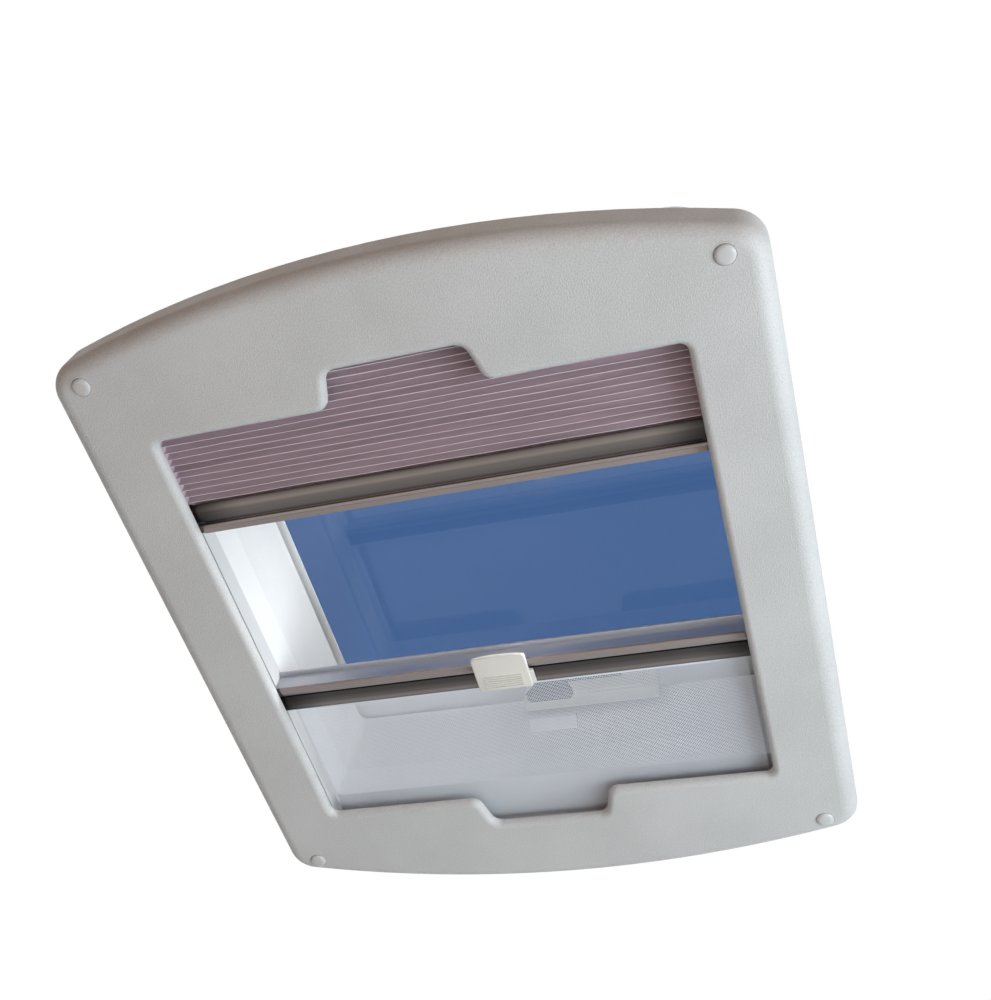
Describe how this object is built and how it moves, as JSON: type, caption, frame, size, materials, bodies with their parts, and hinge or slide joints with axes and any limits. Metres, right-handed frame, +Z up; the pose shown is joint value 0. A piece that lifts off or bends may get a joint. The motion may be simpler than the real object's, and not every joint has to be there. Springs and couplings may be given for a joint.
{
  "type": "camper roof hatch",
  "caption": "Square camper roof hatch with a hinged clear dome, a moulded inner trim frame, a sliding pleated blackout blind and a sliding flyscreen.",
  "frame": {"origin": "centre of the roof cut-out on the roof's outer skin, under the outer flange", "axes": "+Z up out of the roof, +Y from the blackout end and the lid hinges to the flyscreen end and the lid latch, +X across"},
  "size_m": [0.46, 0.532, 0.174],
  "materials": {
    "trim_plastic": "fine-grained warm grey moulding",
    "liner_plastic": "smooth white moulding",
    "frame_plastic": "white weatherproof moulding",
    "seal_rubber": "black sealing rubber",
    "acrylic": "clear acrylic, faint blue",
    "lid_edge": "dark grey edge moulding",
    "hinge_plastic": "dark grey moulding",
    "steel": "plain steel",
    "latch_base": "cream moulding",
    "latch_dark": "black moulding",
    "rail_metal": "bronze-grey anodised",
    "glider_plastic": "dark moulding",
    "seal_strip": "beige edge strip",
    "handle_cream": "cream moulding",
    "blackout_fabric": "pleated mauve-brown cloth",
    "flyscreen_fabric": "fine white-grey insect mesh",
    "roller_metal": "mill finish tube"
  },
  "bodies": {
    "frame": {"trim_frame": "trim_plastic", "well_liner": "liner_plastic", "outer_frame": "frame_plastic", "rim_seal": "seal_rubber", "latch_keeper": "frame_plastic", "blackout_cloth": "blackout_fabric", "blackout_anchor": "liner_plastic", "flyscreen_mesh": "flyscreen_fabric", "flyscreen_roller": "roller_metal", "screw_cap_near_left": "trim_plastic", "screw_cap_near_right": "trim_plastic", "screw_cap_far_left": "trim_plastic", "screw_cap_far_right": "trim_plastic", "side_track_left": "liner_plastic", "roller_bracket_left": "liner_plastic", "hinge_bracket_left": "hinge_plastic", "hinge_pin_left": "steel", "side_track_right": "liner_plastic", "roller_bracket_right": "liner_plastic", "hinge_bracket_right": "hinge_plastic", "hinge_pin_right": "steel"},
    "lid": {"lid_dome": "acrylic", "lid_pane": "acrylic", "lid_edge_frame": "lid_edge", "hinge_arm_left": "hinge_plastic", "hinge_arm_right": "hinge_plastic", "latch_body": "latch_base", "latch_grip": "latch_dark"},
    "blackout": {"blackout_rail": "rail_metal", "blackout_seal_strip": "seal_strip", "blackout_glider_left": "glider_plastic", "blackout_glider_right": "glider_plastic"},
    "flyscreen": {"flyscreen_rail": "rail_metal", "flyscreen_seal_strip": "seal_strip", "flyscreen_glider_left": "glider_plastic", "flyscreen_glider_right": "glider_plastic", "rail_handle": "handle_cream"}
  },
  "joints": [
    {"name": "lid_hinge", "type": "hinge", "parent": "frame", "child": "lid", "pos_m": [0, -0.223, 0.046], "axis": [1, 0, 0], "range_deg": [0, 50]},
    {"name": "blackout_slide", "type": "slide", "parent": "frame", "child": "blackout", "axis": [0, 1, 0], "range_m": [-0.08, 0.064], "deforming": ["blackout_cloth"]},
    {"name": "flyscreen_slide", "type": "slide", "parent": "frame", "child": "flyscreen", "axis": [0, 1, 0], "range_m": [-0.064, 0.126], "deforming": ["flyscreen_mesh"]}
  ]
}
